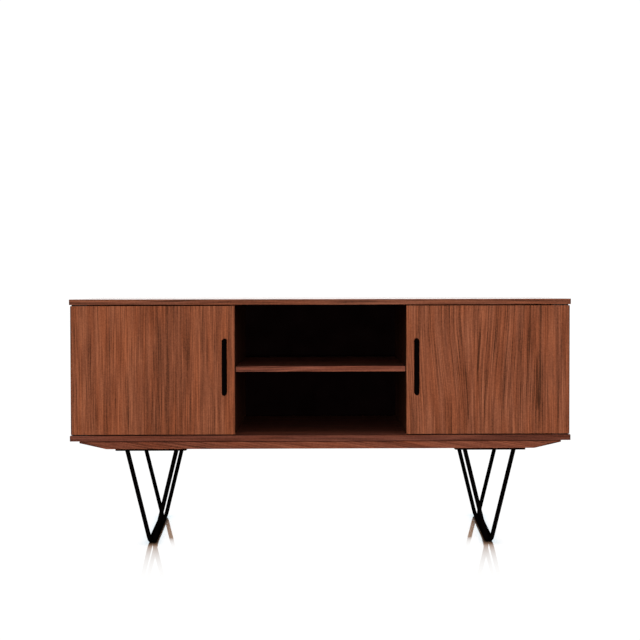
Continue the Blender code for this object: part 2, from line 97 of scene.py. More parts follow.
# Screws: how far a flush head and a raised head stand proud, and radii by place
FLUSH, RAISED = 0.00008, 0.0003
HINGE_SCREW_RADIUS, CATCH_SCREW_RADIUS, STRIKE_SCREW_RADIUS = 0.0028, 0.0026, 0.0024
# Hinge screws: along the leaf from its free end, and behind the panel's front
LEAF_SCREW_PLACES, LEAF_SCREW_DEPTH, LEAF_THICKNESS = (0.0075, 0.0245), 0.0075, 0.0025
# Screws of the catch and its strike: above and below the middle, and behind the catch's middle
CATCH_SCREW_RISE, STRIKE_SCREW_RISE, CATCH_SCREW_SHIFT = 0.0165, 0.0175, 0.002
# Pole plates of a magnetic catch: size, distance from its middle, how far they stand out, bevel
POLE_SIZE, POLE_SHIFT, POLE_PROUD, POLE_BEVEL = (0.0014, 0.0030, 0.026), 0.0030, 0.0001, 0.0002

# Door buffers: their distance from a divider's end, and height and radius from foot to crown
BUFFER_INSET = 0.014
BUFFER_PROFILE = ((0.0, 0.0040), (0.0012, 0.0040), (0.0024, 0.0036), (0.0032, 0.0026), (0.0035, 0.0012))
# Steps round a screw head or a buffer
ROUND_STEPS = 24

# The floor lies a little under the feet, so their undersides don't share its plane.
FLOOR_HALF_LENGTH, FLOOR_GAP = 30, 0.0004

# The camera: millimetres of sensor and lens, shares of the picture, metres, and degrees in turning order
SENSOR_WIDTH, LENS, LENS_SHIFT = 36, 51.34, (-0.0106, -0.0276)
CAMERA_PLACE = (-0.0055, -2.6476, 0.706)
CAMERA_TURNS = ((-0.52, "Z"), (90 - 1.04, "X"), (-0.10, "Z"))


# ---------------------------------------------------------------- node helpers


def opaque(value):
    """A colour with full alpha added, or any other value as it is."""
    return (*value, 1) if isinstance(value, tuple) else value


class Shader:
    """A material, its place in the frame, and short ways to add and join its nodes."""

    def __init__(self, name):
        self.material = bpy.data.materials.new(name)
        self.material.use_nodes = True
        self.tree = self.material.node_tree
        self.surface = self.tree.nodes["Principled BSDF"]
        self.place = self.add("ShaderNodeTexCoord").outputs["Object"]

    def put(self, socket, value):
        """Joins a node's output to a socket, or sets the socket's own value."""
        if isinstance(value, bpy.types.NodeSocket):
            self.tree.links.new(value, socket)
        elif value is not None:
            socket.default_value = value

    def add(self, kind, settings=(), inputs=()):
        """Adds a node with its settings, and with values or other nodes' outputs on its inputs."""
        node = self.tree.nodes.new(kind)
        for key, value in dict(settings).items():
            setattr(node, key, value)
        for key, value in dict(inputs).items():
            self.put(node.inputs[key], value)
        return node

    def set(self, **values):
        """Sets the surface's own sockets: base_color=..., roughness=... and so on."""
        for key, value in values.items():
            socket = self.surface.inputs[key.replace("_", " ").title().replace("Ior", "IOR")]
            self.put(socket, opaque(value))

    def math(self, operation, first, second=0.0, third=0.0):
        node = self.add("ShaderNodeMath", {"operation": operation})
        for socket, value in zip(node.inputs, (first, second, third)):
            self.put(socket, value)
        return node.outputs[0]

    def scale(self, value, factor, offset=0.0):
        """The value times a factor, plus an offset."""
        return self.math("MULTIPLY_ADD", value, factor, offset)

    def fall(self, power):
        """About e to a power, for what dies away."""
        return self.math("POWER", 2.718, power)

    def split(self, vector):
        """A vector's X, Y and Z."""
        return self.add("ShaderNodeSeparateXYZ", inputs={"Vector": vector}).outputs

    def vector(self, x, y, z):
        return self.add("ShaderNodeCombineXYZ", inputs={"X": x, "Y": y, "Z": z}).outputs[0]

    def noise(self, vector, scale=1.0, detail=2.0, roughness=0.5):
        inputs = {"Vector": vector, "Scale": scale, "Detail": detail, "Roughness": roughness}
        return self.add("ShaderNodeTexNoise", inputs=inputs).outputs["Fac"]

    def steps(self, value, low, high, to_low=0.0, to_high=1.0):
        """Maps a value from one range to another, eased and clamped at both ends."""
        node = self.add("ShaderNodeMapRange", {"interpolation_type": "SMOOTHSTEP"})
        for key, number in zip(("From Min", "From Max", "To Min", "To Max"), (low, high, to_low, to_high)):
            node.inputs[key].default_value = number
        self.put(node.inputs["Value"], value)
        return node.outputs[0]

    def mix(self, factor, first, second, blend="MIX"):
        node = self.add("ShaderNodeMix", {"data_type": "RGBA", "blend_type": blend})
        for socket, value in zip((node.inputs[0], node.inputs[6], node.inputs[7]), (factor, first, second)):
            self.put(socket, opaque(value))
        return node.outputs[2]

    def ramp(self, factor, stops):
        node = self.add("ShaderNodeValToRGB", inputs={"Fac": factor})
        elements = node.color_ramp.elements
        while len(elements) < len(stops):
            elements.new(0.5)
        for element, (position, colour) in zip(elements, stops):
            element.position = position
            element.color = opaque(colour)
        return node.outputs["Color"]

    def bump(self, height, strength, distance):
        inputs = {"Height": height, "Strength": strength, "Distance": distance}
        node = self.add("ShaderNodeBump", inputs=inputs)
        self.put(self.surface.inputs["Normal"], node.outputs["Normal"])


# ---------------------------------------------------------------- materials


def grain_noise(s, across, along, scales, seed, detail, roughness=0.5):
    """Noise with its own scales across and along the grain."""
    spot = s.vector(s.scale(across, scales[0]), s.scale(along, scales[1]), seed)
    return s.noise(spot, 1.0, detail, roughness)


def past_front(s, across, position):
    """How far a place across the grain lies past a position on the front face."""
    return s.scale(across, 1.0, -position - DEPTH_SHIFT * PANEL_FRONT_Y)


def bend_grain(s, across, along, seed, slant, flame):
    """The place across the grain: it sways and wanders, leans by slant, and opens out upwards by flame."""
    sway = grain_noise(s, across, along, (2.5, 1.3), seed, 1.0)
    wander = grain_noise(s, across, along, (30.0, 7.0), seed + 3.1, 1.0)
    bent = s.math("ADD", across, s.scale(sway, 0.030, -0.015))
    bent = s.math("ADD", bent, s.scale(wander, 0.0030, -0.0015))
    if slant:
        bent = s.math("ADD", bent, s.scale(along, slant))
    if flame:
        line, half_width, amount = flame
        offset = past_front(s, across, line)
        near = s.fall(s.math("MULTIPLY", offset, s.scale(offset, -1 / half_width**2)))
        rise = s.steps(along, 0.34, 0.66, 0.1, amount)
        bent = s.math("SUBTRACT", bent, s.math("MULTIPLY", offset, s.math("MULTIPLY", near, rise)))
    return bent


def darken_streaks(s, total, bent, along, comb, streaks):
    """Takes each streak off the brightness, through a comb of fine grain and fading at both ends."""
    for position, half_width, low, high, strength, lean in streaks:
        drift = s.math("ADD", bent, s.scale(along, -lean, lean * (low + high) / 2))
        distance = s.math("ABSOLUTE", past_front(s, drift, position))
        band = s.steps(distance, 0.0, STREAK_SPREAD * half_width, 0.50 * strength, 0.0)
        band = s.math("MULTIPLY", band, comb)
        ends = 0.12 * (high - low) + 0.012
        begun = s.steps(along, low - ends, low + ends)
        span = s.math("MULTIPLY", begun, s.steps(along, high - ends, high + ends, 1, 0))
        total = s.math("SUBTRACT", total, s.math("MULTIPLY", band, span))
    return total


def walnut_stops(tone):
    """The walnut ramp with each channel brightened or darkened by tone."""
    stops = []
    for position, colour in WALNUT_STOPS:
        stops.append((position, tuple(channel * share for channel, share in zip(colour, tone))))
    return stops


def veneer(
    name,
    grain,
    seed,
    tone=(1.0, 1.0, 1.0),
    coarse=1.0,
    middle=1.0,
    streaks=(),
    flame=None,
    slant=0.0,
    shade=None,
    coat=0.0,
):
    """Walnut veneer with its grain along axis X or Z of the frame.

    tone brightens or darkens each channel. coarse and middle scale the broader bands. streaks are rows
    like those of LEFT_DOOR_STREAKS. flame opens the grain out upwards: its line across, half width and
    amount. slant leans the grain. shade is painted shade: it gives how much darker a place is drawn, such
    as the shadow under the bottom panel or the shade at an edge. coat is the strength of the lacquer on
    faces that look up.
    """
    s = Shader(name)
    xyz = s.split(s.place)
    along, across = (xyz["X"], xyz["Z"]) if grain == "X" else (xyz["Z"], xyz["X"])
    across = s.math("ADD", across, s.scale(xyz["Y"], DEPTH_SHIFT))
    bent = bend_grain(s, across, along, seed, slant, flame)
    bands = []
    total = 0.0
    for (scales, detail, weight, shift), share in zip(GRAIN_BANDS, (coarse, middle, middle, 1.0)):
        band = grain_noise(s, bent, along, scales, seed + shift, detail, 0.6)
        bands.append(band)
        weight *= share
        total = s.math("ADD", total, s.scale(band, weight, -0.5 * weight))
    broad, fine = bands[1], bands[3]
    lines = s.steps(grain_noise(s, bent, along, (260.0, 2.6), seed + 41.9, 2.0), 0.56, 0.68)
    total = s.math("SUBTRACT", s.math("ADD", total, 0.53), s.scale(lines, 0.22))
    mottle = s.noise(s.place, 240.0, 3.0, 0.7)
    total = s.math("ADD", total, s.scale(mottle, 0.62, -0.31))
    comb = s.steps(fine, 0.40, 0.56, 1.5, 0.5)
    total = darken_streaks(s, total, bent, along, comb, streaks)
    colour = s.ramp(total, walnut_stops(tone))
    hue = grain_noise(s, bent, along, (45.0, 4.0), seed + 31.7, 2.0)
    colour = s.mix(s.steps(hue, 0.35, 0.65, 0.0, 0.8), colour, (1.06, 0.94, 0.82), "MULTIPLY")
    pore = s.steps(grain_noise(s, across, along, (1500.0, 42.0), seed + 27.1, 2.0), 0.60, 0.72)
    colour = s.mix(s.scale(pore, 0.45), colour, (0.40, 0.33, 0.30), "MULTIPLY")
    # Painted shade: the colour is multiplied darker where the shade argument says shade falls.
    if shade:
        colour = s.mix(shade(s, xyz), colour, (0.10, 0.07, 0.05), "MULTIPLY")
    s.set(base_color=colour, roughness=s.scale(broad, -0.16, 0.60), specular_ior_level=0.2)
    if coat:
        facing = s.split(s.add("ShaderNodeNewGeometry").outputs["Normal"])
        s.set(coat_weight=s.steps(facing["Z"], 0.90, 0.99, 0.0, coat), coat_roughness=0.06, coat_ior=1.6)
    s.bump(s.math("SUBTRACT", s.scale(fine, 0.35), pore), 0.25, 0.0002)
    return s.material


def backing_board():
    """Dark hardboard, bare and mottled on the face behind. The face inside the cabinet is near black: painted
    shade, so the back of the open bay looks deep in shade.
    """
    s = Shader("dark_backing")
    xyz = s.split(s.place)
    low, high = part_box("back_panel")
    fibres = s.noise(s.place, 900.0, 4.0, 0.7)
    cloud = s.noise(s.place, 14.0, 3.0, 0.5)
    # Near black on the inside face: painted shade for the back of the open bay.
    painted_shade_inside = s.ramp(cloud, ((0.3, (0.0010, 0.0004, 0.0004)), (0.7, (0.0018, 0.0008, 0.0008))))
    bare = s.ramp(cloud, ((0.3, (0.030, 0.018, 0.012)), (0.7, (0.045, 0.028, 0.018))))
    colour = s.mix(s.steps(xyz["Y"], high.y - 0.0012, high.y - 0.0008), painted_shade_inside, bare)
    colour = s.mix(s.scale(fibres, 0.6), colour, (1.35, 1.25, 1.15), "MULTIPLY")
    edge_x = s.scale(s.math("ABSOLUTE", xyz["X"]), -1.0, high.x)
    edge_z = s.math("MINIMUM", s.scale(xyz["Z"], 1.0, -low.z), s.scale(xyz["Z"], -1.0, high.z))
    rows = []
    for edge, run in ((edge_z, xyz["X"]), (edge_x, xyz["Z"])):
        step = s.math("PINGPONG", s.scale(run, 1.0, 5.0), NAIL_PITCH / 2)
        inset = s.scale(edge, 1.0, -NAIL_INSET)
        square = s.math("ADD", s.math("MULTIPLY", step, step), s.math("MULTIPLY", inset, inset))
        rows.append(s.math("SQRT", square))
    nail = s.steps(s.math("MINIMUM", *rows), NAIL_RADIUS * 0.8, NAIL_RADIUS, 1.0, 0.0)
    behind = s.steps(xyz["Y"], high.y - 0.0006, high.y - 0.0004)
    nail = s.math("MULTIPLY", nail, behind)
    colour = s.mix(nail, colour, (0.30, 0.30, 0.31))
    s.set(base_color=colour, roughness=0.75, specular_ior_level=0.0, metallic=nail)
    s.bump(s.math("SUBTRACT", s.scale(fibres, 0.4), nail), 0.3, 0.0003)
    return s.material


def dark_filler():
    """Black filler, a little uneven: its near-black colour is painted shade, as dark as the inside face of
    the back panel.
    """
    s = Shader("dark_filler")
    cloud = s.noise(s.place, 90.0, 3.0, 0.6)
    colour = s.mix(cloud, (0.0010, 0.0004, 0.0004), (0.0019, 0.0009, 0.0009))
    s.set(base_color=colour, roughness=s.scale(cloud, 0.2, 0.6), specular_ior_level=0.0)
    s.bump(s.noise(s.place, 700.0, 3.0, 0.6), 0.2, 0.0002)
    return s.material


def powder_coat():
    """Black powder coat: a fine orange-peel surface, a little cloudy."""
    s = Shader("black_coated_steel")
    peel = s.noise(s.place, 1300.0, 2.0, 0.5)
    cloud = s.noise(s.place, 40.0, 3.0, 0.6)
    colour = s.mix(s.scale(cloud, 0.5), (0.0013, 0.0009, 0.0009), (0.0026, 0.0019, 0.0018))
    s.set(base_color=colour, roughness=s.scale(peel, 0.18, 0.42), specular_ior_level=0.0)
    s.bump(peel, 0.22, 0.00015)
    return s.material


def zinc():
    """Zinc-plated steel with fine brushed lines and dull patches."""
    s = Shader("zinc_plated_steel")
    brushed = s.noise(s.place, 1800.0, 2.0, 0.6)
    patch = s.noise(s.place, 120.0, 3.0, 0.6)
    colour = s.ramp(patch, ((0.3, (0.42, 0.43, 0.44)), (0.7, (0.62, 0.62, 0.60))))
    s.set(base_color=colour, metallic=1.0, roughness=s.scale(patch, 0.25, 0.22))
    s.bump(brushed, 0.15, 0.0001)
    return s.material


def painted_shade_zinc():
    """Dark steel for the hinge leaves and the catches' pole plates: a copy of the zinc darkened far down,
    painted shade for parts that sit in the gaps by the doors.
    """
    s = Shader("hinge_leaf_steel")
    patch = s.noise(s.place, 150.0, 3.0, 0.6)
    colour = s.ramp(patch, ((0.3, (0.030, 0.027, 0.025)), (0.7, (0.055, 0.050, 0.046))))
    s.set(base_color=colour, metallic=1.0, roughness=s.scale(patch, 0.2, 0.4))
    s.bump(s.noise(s.place, 1500.0, 2.0, 0.5), 0.15, 0.0001)
    return s.material


def moulded_plastic():
    """Brown moulded plastic with a fine spark texture."""
    s = Shader("brown_plastic")
    spark = s.noise(s.place, 2200.0, 2.0, 0.5)
    cloud = s.noise(s.place, 60.0, 2.0, 0.5)
    colour = s.mix(s.scale(cloud, 0.6), (0.045, 0.022, 0.013), (0.065, 0.034, 0.020))
    s.set(base_color=colour, roughness=0.5)
    s.bump(spark, 0.2, 0.0001)
    return s.material


def clear_rubber():
    """Soft cloudy rubber for the door buffers."""
    s = Shader("buffer_rubber")
    cloud = s.noise(s.place, 400.0, 3.0, 0.5)
    colour = s.ramp(cloud, ((0.3, (0.16, 0.14, 0.12)), (0.7, (0.24, 0.22, 0.19))))
    s.set(base_color=colour, roughness=0.45)
    s.bump(cloud, 0.1, 0.0001)
    return s.material


def give(material, *nodes):
    """Puts a material on CAD nodes in place of the plain one."""
    for node in nodes:
        slots = frame["nodes"][node].data.materials
        slots.clear()
        slots.append(material)


# Darker streaks in the doors' leaves, or lighter ones where the strength is below zero. The columns are
# place across, half width, height of the lower and of the upper end, strength, lean.
LEFT_DOOR_STREAKS = (
    (-0.547, 0.0130, 0.38, 0.66, 0.18, 0.000),
    (-0.630, 0.0160, 0.30, 0.56, 0.16, 0.010),
    (-0.655, 0.0050, 0.30, 0.62, 0.10, 0.000),
    (-0.524, 0.0030, 0.30, 0.48, 0.46, -0.010),
    (-0.448, 0.0026, 0.30, 0.41, 0.42, 0.000),
    (-0.441, 0.0020, 0.41, 0.62, 0.20, 0.050),
    (-0.484, 0.0020, 0.46, 0.57, 0.34, 0.010),
    (-0.313, 0.0020, 0.55, 0.62, 0.30, 0.000),
    (-0.383, 0.0090, 0.36, 0.66, -0.18, 0.000),
    (-0.467, 0.0080, 0.32, 0.60, -0.14, 0.010),
    (-0.275, 0.0060, 0.30, 0.66, -0.12, 0.000),
)
RIGHT_DOOR_STREAKS = (
    (0.425, 0.0024, 0.46, 0.60, 0.42, 0.000),
    (0.401, 0.0024, 0.34, 0.48, 0.38, -0.015),
    (0.444, 0.0026, 0.34, 0.47, 0.38, 0.040),
    (0.487, 0.0026, 0.58, 0.66, 0.36, 0.060),
    (0.590, 0.0110, 0.36, 0.50, 0.28, 0.000),
    (0.590, 0.0200, 0.30, 0.66, 0.09, 0.000),
    (0.647, 0.0026, 0.35, 0.46, 0.40, 0.000),
    (0.347, 0.0080, 0.29, 0.40, 0.26, -0.020),
    (0.280, 0.0040, 0.56, 0.66, 0.22, 0.000),
    (0.660, 0.0070, 0.30, 0.66, -0.16, 0.000),
    (0.455, 0.0080, 0.40, 0.52, -0.16, 0.040),
    (0.400, 0.0200, 0.50, 0.66, -0.10, 0.000),
)


def painted_end_shade(node, width, amount):
    """Painted shade: darkens the veneer near a node's left and right ends."""
    low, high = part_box(node)

    def shade(s, xyz):
        left = s.scale(xyz["X"], 1.0, -low.x)
        right = s.scale(xyz["X"], -1.0, high.x)
        return s.steps(s.math("MINIMUM", left, right), 0.0, width, amount, 0.0)

    return shade


def painted_edge_shade(sign, node, width, amount):
    """Painted shade: darkens a door near its outer edge."""
    low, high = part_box(node)
    edge = high.x if sign > 0 else -low.x

    def shade(s, xyz):
        return s.steps(s.scale(xyz["X"], -sign, edge), 0.0, width, amount, 0.0)

    return shade


def painted_rail_shadow(s, xyz):
    """Painted shadow on the base rails: darker just under the bottom panel, which shades them, and along
    their slanted ends.
    """
    low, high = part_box("base_rail_front")
    # Painted shadow just under the bottom panel, and painted shadow along each slanted end.
    under = s.steps(xyz["Z"], high.z - 0.0042, high.z - 0.0012, 0.0, 0.92)
    past = s.math("MAXIMUM", s.scale(s.math("ABSOLUTE", xyz["X"]), 1.0, -BASE_BOTTOM_HALF_LENGTH), 0.0)
    rise = s.scale(past, -(high.z - low.z - BASE_NOSE) / (high.x - BASE_BOTTOM_HALF_LENGTH))
    above = s.math("ADD", s.scale(xyz["Z"], 1.0, -low.z), rise)
    painted_slant_shadow = s.math("MULTIPLY", s.steps(above, 0.0, 0.0060, 0.85, 0.0), s.steps(past, 0.0, 0.040))
    return s.math("MAXIMUM", under, painted_slant_shadow)


def dress_doors():
    """Each door has its own leaf of veneer. The right door's grain opens out upwards."""
    leaf = veneer(
        "veneer_door_left",
        "Z",
        1.7,
        coarse=1.5,
        streaks=LEFT_DOOR_STREAKS,
        shade=painted_edge_shade(-1, "door_left", DOOR_EDGE_WIDTH, DOOR_EDGE_PAINTED_SHADE),
    )
    give(leaf, "door_left")
    leaf = veneer(
        "veneer_door_right",
        "Z",
        5.2,
        tone=(1.055, 1.08, 1.12),
        coarse=0.75,
        middle=0.45,
        streaks=RIGHT_DOOR_STREAKS,
        flame=(0.413, 0.11, 0.55),
        shade=painted_edge_shade(1, "door_right", DOOR_EDGE_WIDTH, DOOR_EDGE_PAINTED_SHADE),
    )
    give(leaf, "door_right")


def dress_boards():
    """The boards of the cabinet and its base."""
    # The top and bottom panels get painted shade at their ends.
    ends = painted_end_shade("top_panel", PANEL_END_WIDTH, PANEL_END_PAINTED_SHADE)
    give(veneer("veneer_top", "X", 9.4, tone=(0.82, 0.88, 1.02), shade=ends, coat=0.85), "top_panel")
    give(veneer("veneer_bottom", "X", 12.8, tone=(0.60, 0.60, 0.79), shade=ends), "bottom_panel")
    shelf = veneer("veneer_shelves", "X", 16.1, tone=(0.92, 0.97, 1.30))
    give(shelf, "center_shelf", "side_shelf_left", "side_shelf_right")
    base = veneer("veneer_base", "X", 20.6, tone=(0.85, 0.81, 0.92), slant=0.16, shade=painted_rail_shadow)
    give(base, "base_rail_front", "base_rail_back")
    give(veneer("veneer_cross", "X", 24.9), "base_cross_rail_left", "base_cross_rail_right")
    # The side panels and dividers have their veneer darkened to about a quarter: painted shade, so the sides
    # of the open bay look as dark as in deep shade.
    painted_shade_upright = veneer("veneer_upright_painted_shade", "Z", 28.3, tone=(0.26, 0.26, 0.26))
    for side in SIDES:
        give(painted_shade_upright, f"side_panel_{side}", f"divider_{side}")
    give(backing_board(), "back_panel")


def dress_hardware(finishes):
    """The metal and plastic nodes take the finish of their slot, and the hinge leaves their own."""
    for row in frame["record"]["subparts"]:
        if row["material_slot"] in finishes:
            give(finishes[row["material_slot"]], row["node"])
    for side in SIDES:
        for end in ("top", "bottom"):
            give(finishes["hinge_leaf"], f"hinge_panel_leaf_{side}_{end}", f"hinge_door_leaf_{side}_{end}")


# ---------------------------------------------------------------- small pieces


def add_piece(name, builder, material, body="cabinet", smooth=False):
    """Turns a bmesh, built in the frame, into a piece that rides on a body."""
    bmesh.ops.recalc_face_normals(builder, faces=builder.faces)
    mesh = bpy.data.meshes.new(name)
    builder.to_mesh(mesh)
    builder.free()
    for face in mesh.polygons:
        face.use_smooth = smooth
    mesh.materials.append(material)
    piece = bpy.data.objects.new(name, mesh)
    bpy.context.scene.collection.objects.link(piece)
    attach(piece, body)


def circle(count, radius=1.0):
    """Points evenly spaced round a circle, as pairs of coordinates."""
    points = []
    for step in range(count):
        angle = 2 * math.pi * step / count
        points.append((radius * math.cos(angle), radius * math.sin(angle)))
    return points


def skin(builder, first, second):
    """Joins two closed loops of vertices with a strip of faces."""
    for k in range(len(first)):
        j = (k + 1) % len(first)
        builder.faces.new((first[k], first[j], second[j], second[k]))


def bead_outline(centre_y, centre_z, up):
    """A quarter-round bead in the corner between a board and the back, facing the open front."""
    outline = [(centre_y, centre_z)]
    for step in range(BEAD_STEPS + 1):
        angle = math.pi / 2 * step / BEAD_STEPS
        radius = BEAD_RADIUS * (1 + 0.1 * math.sin(2 * angle))
        outline.append((centre_y - radius * math.cos(angle), centre_z + up * radius * math.sin(angle)))
    return outline


def make_back_beads(material):
    """A thin bead of filler closes the joint between the back panel and the boards above and below it."""
    inner_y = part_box("back_panel")[0].y
    floor_z, ceiling_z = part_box("bottom_panel")[1].z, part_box("top_panel")[0].z
    for label, left, right in (
        ("left", "side_panel_left", "divider_left"),
        ("middle", "divider_left", "divider_right"),
        ("right", "divider_right", "side_panel_right"),
    ):
        x_low, x_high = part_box(left)[1].x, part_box(right)[0].x
        for end, corner_z, up in (("bottom", floor_z, 1), ("top", ceiling_z, -1)):
            outline = bead_outline(inner_y + BEAD_SINK, corner_z - up * BEAD_SINK, up)
            builder = bmesh.new()
            ends = [[builder.verts.new((x, y, z)) for y, z in outline] for x in (x_low, x_high)]
            builder.faces.new(ends[0])
            builder.faces.new(ends[1])
            skin(builder, *ends)
            add_piece(f"back_bead_{label}_{end}", builder, material)


def weld_row(builder, centre, first, second, thick):
    """A ring of vertices round a weld's line."""
    row = []
    for u, v in circle(WELD_SIDES):
        row.append(builder.verts.new(centre + (first * u + second * v) * thick))
    return row


def weld_ring(builder, centre, first, second, chance):
    """A rippled ring of weld metal round a centre, in the plane of two unit directions."""
    normal = first.cross(second)
    rows = []
    for step in range(RING_STEPS):
        angle = 2 * math.pi * step / RING_STEPS
        radial = first * (math.cos(angle) * RING_REACH[0]) + second * (math.sin(angle) * RING_REACH[1])
        thick = RING_RADIUS * (1 + 0.18 * math.sin(12 * angle) + chance.uniform(-0.08, 0.08))
        rows.append(weld_row(builder, centre + radial, radial.normalized(), normal, thick))
    for row, following in zip(rows, rows[1:] + rows[:1]):
        skin(builder, row, following)


def weld_seam(builder, start, end, chance):
    """A short rippled weld along the groove between two rods."""
    up = Vector((0, 0, 1))
    across = (end - start).normalized().cross(up)
    rows = []
    for step in range(SEAM_STEPS + 1):
        share = step / SEAM_STEPS
        thick = SEAM_RADIUS * (0.25 + 0.75 * math.sin(math.pi * share) ** 0.5)
        thick *= 1 + 0.10 * math.sin(12 * math.pi * share) + chance.uniform(-0.05, 0.05)
        rows.append(weld_row(builder, start.lerp(end, share), across, up, thick))
    for row, following in zip(rows, rows[1:]):
        skin(builder, row, following)
    builder.faces.new(rows[0])
    builder.faces.new(rows[-1])


def make_welds(material):
    """Weld beads where each rod meets its plates, and along the groove between the two rods of a pair."""
    chance = random.Random(41)
    across, back = Vector((1, 0, 0)), Vector((0, 1, 0))
    for side in SIDES:
        feet = []
        for place in ("front", "back"):
            low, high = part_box(f"leg_plate_{side}_{place}")
            middle = (low + high) / 2
            feet.append(Vector((middle.x, middle.y, ROD_RADIUS + GROOVE_RISE)))
            builder = bmesh.new()
            for step in (-1, 1):
                top = Vector((middle.x + step * V_HALF_WIDTH, middle.y, low.z - RING_DROP))
                weld_ring(builder, top, across, back, chance)
            add_piece(f"leg_weld_{side}_{place}", builder, material, smooth=True)
        builder = bmesh.new()
        half = (feet[1] - feet[0]).normalized() * SEAM_HALF_LENGTH
        for share in SEAM_SHARES:
            middle = feet[0].lerp(feet[1], share)
            weld_seam(builder, middle - half, middle + half, chance)
        add_piece(f"leg_weld_{side}_floor", builder, material, smooth=True)


def screw_face(builder, centre, normal, first, radius, proud):
    """A screw head: a disc with a chamfered rim and a crossed recess."""
    second = normal.cross(first)
    arm, half = radius * 0.62, radius * 0.16
    cross = ((arm, -half), (arm, half), (half, half), (half, arm), (-half, arm), (-half, half))
    cross += tuple((-u, -v) for u, v in cross)
    rim = circle(ROUND_STEPS, radius)
    inner_rim = [(u * 0.93, v * 0.93) for u, v in rim]
    levels = []
    for height, loop in ((0, rim), (proud / 2, rim), (proud, inner_rim), (proud, cross), (0, cross)):
        levels.append([builder.verts.new(centre + first * u + second * v + normal * height) for u, v in loop])
    for lower, upper in ((levels[0], levels[1]), (levels[1], levels[2]), (levels[3], levels[4])):
        skin(builder, lower, upper)
    borders = []
    for loop in (levels[2], levels[3]):
        for corner, following in zip(loop, loop[1:] + loop[:1]):
            found = builder.edges.get((corner, following))
            borders.append(found or builder.edges.new((corner, following)))
    bmesh.ops.triangle_fill(builder, use_beauty=True, edges=borders)


def make_hinge_screws(material):
    """Two flush screws in each hinge leaf, on the face that shows in the gap over or under the door."""
    across, up = Vector((1, 0, 0)), Vector((0, 0, 1))
    for side, sign in SIDES.items():
        for end, away in (("top", 1), ("bottom", -1)):
            for kind, facing in (("panel", -away), ("door", away)):
                low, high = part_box(f"hinge_{kind}_leaf_{side}_{end}")
                free_x = low.x if sign > 0 else high.x
                # The far side of a fixed leaf is measured, because its pin sticks out of the near side.
                if kind == "door":
                    face_z = high.z if away > 0 else low.z
                else:
                    face_z = high.z - LEAF_THICKNESS if away > 0 else low.z + LEAF_THICKNESS
                builder = bmesh.new()
                for distance in LEAF_SCREW_PLACES:
                    centre = Vector((free_x + sign * distance, PANEL_FRONT_Y + LEAF_SCREW_DEPTH, face_z))
                    screw_face(builder, centre, up * facing, across, HINGE_SCREW_RADIUS, FLUSH)
                body = "cabinet" if kind == "panel" else f"door_{side}"
                add_piece(f"hinge_{kind}_screws_{side}_{end}", builder, material, body)


def make_pole_plates(side, material):
    """Two steel plates at the front of a magnetic catch."""
    low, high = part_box(f"catch_{side}")
    middle = (low + high) / 2
    size = Vector(POLE_SIZE)
    builder = bmesh.new()
    for step in (-1, 1):
        centre = Vector((middle.x + step * POLE_SHIFT, low.y - POLE_PROUD + size.y / 2, middle.z))
        made = bmesh.ops.create_cube(builder, size=1.0)["verts"]
        bmesh.ops.scale(builder, vec=size, verts=made)
        bmesh.ops.translate(builder, vec=centre, verts=made)
    bmesh.ops.bevel(builder, geom=list(builder.edges), offset=POLE_BEVEL, segments=1, affect="EDGES")
    add_piece(f"catch_poles_{side}", builder, material)


def make_catch_screws(side, sign, material):
    """The screws that fix a magnetic catch to the divider, and its strike plate to the door."""
    across, back, up = Vector((1, 0, 0)), Vector((0, 1, 0)), Vector((0, 0, 1))
    low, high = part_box(f"catch_{side}")
    middle = (low + high) / 2
    face_x = high.x if sign > 0 else low.x
    builder = bmesh.new()
    for step in (-1, 1):
        centre = Vector((face_x, middle.y + CATCH_SCREW_SHIFT, middle.z + step * CATCH_SCREW_RISE))
        screw_face(builder, centre, across * sign, up, CATCH_SCREW_RADIUS, RAISED)
    add_piece(f"catch_screws_{side}", builder, material)
    low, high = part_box(f"strike_{side}")
    builder = bmesh.new()
    for step in (-1, 1):
        centre = Vector(((low.x + high.x) / 2, high.y, (low.z + high.z) / 2 + step * STRIKE_SCREW_RISE))
        screw_face(builder, centre, back, up, STRIKE_SCREW_RADIUS, FLUSH)
    add_piece(f"strike_screws_{side}", builder, material, f"door_{side}")


def make_buffers(material):
    """Two soft round buffers on each divider's front edge, where the door closes on them."""
    for side in SIDES:
        low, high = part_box(f"divider_{side}")
        middle_x = (low.x + high.x) / 2
        for end, z in (("top", high.z - BUFFER_INSET), ("bottom", low.z + BUFFER_INSET)):
            builder = bmesh.new()
            rings = []
            for height, radius in BUFFER_PROFILE:
                ring = []
                for x, up in circle(ROUND_STEPS, radius):
                    ring.append(builder.verts.new((middle_x + x, low.y - height, z + up)))
                rings.append(ring)
            for ring, following in zip(rings, rings[1:]):
                skin(builder, ring, following)
            builder.faces.new(rings[0])
            builder.faces.new(rings[-1])
            add_piece(f"door_buffer_{side}_{end}", builder, material, smooth=True)


def make_small_pieces(finishes):
    """The small parts that only show close up, each riding on its body."""
    make_back_beads(dark_filler())
    make_welds(finishes["black_coated_steel"])
    make_hinge_screws(finishes["zinc_plated_steel"])
    for side, sign in SIDES.items():
        make_pole_plates(side, finishes["hinge_leaf"])
        make_catch_screws(side, sign, finishes["zinc_plated_steel"])
    make_buffers(clear_rubber())


# ---------------------------------------------------------------- studio


